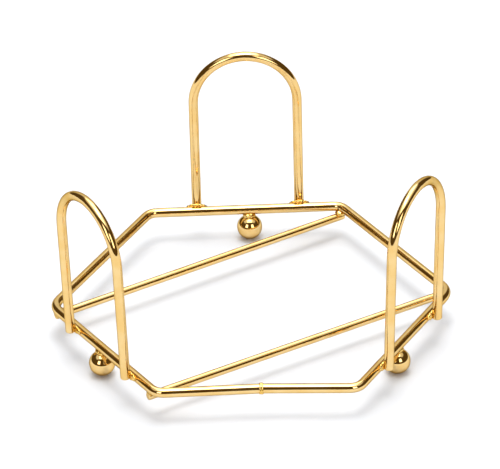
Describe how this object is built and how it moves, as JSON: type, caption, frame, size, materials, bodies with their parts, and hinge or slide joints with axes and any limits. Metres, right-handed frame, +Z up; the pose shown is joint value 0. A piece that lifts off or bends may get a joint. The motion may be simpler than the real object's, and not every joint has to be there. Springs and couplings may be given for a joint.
{
  "type": "coaster holder",
  "caption": "Free-standing gold wire holder: a bent hexagonal ring on ball feet, with rounded upright arches that fence in a stack of hexagonal coasters and straight rods that carry it.",
  "frame": {"origin": "on the surface that the ball feet stand on, straight under the middle of the ring", "axes": "+Z up, +Y towards the arch at the back, +X to the right, so the ring's seam is on the -Y side"},
  "size_m": [0.1228, 0.1124, 0.066],
  "materials": {
    "gold_wire": "bright gold electroplate over drawn steel wire, mirror polish with fine drawing lines",
    "gold_ball": "bright gold electroplate over a ground steel ball, mirror polish",
    "gold_weld": "gold electroplate over a lumpy resistance weld, semi bright"
  },
  "bodies": {
    "root": {"arch_back": "gold_wire", "arch_left": "gold_wire", "arch_right": "gold_wire", "base_ring": "gold_wire", "cross_rod_front": "gold_wire", "cross_rod_rear": "gold_wire", "foot_ball_back": "gold_ball", "foot_ball_left": "gold_ball", "foot_ball_right": "gold_ball", "foot_weld_back": "gold_weld", "foot_weld_left": "gold_weld", "foot_weld_right": "gold_weld", "leg_weld_back_by_back_left": "gold_weld", "leg_weld_back_by_back_right": "gold_weld", "leg_weld_left_by_front_left": "gold_weld", "leg_weld_left_by_left": "gold_weld", "leg_weld_right_by_front_right": "gold_weld", "leg_weld_right_by_right": "gold_weld", "ring_seam_weld": "gold_weld", "rod_weld_front_by_front_left": "gold_weld", "rod_weld_front_by_right": "gold_weld", "rod_weld_rear_by_back_right": "gold_weld", "rod_weld_rear_by_left": "gold_weld"}
  },
  "joints": []
}
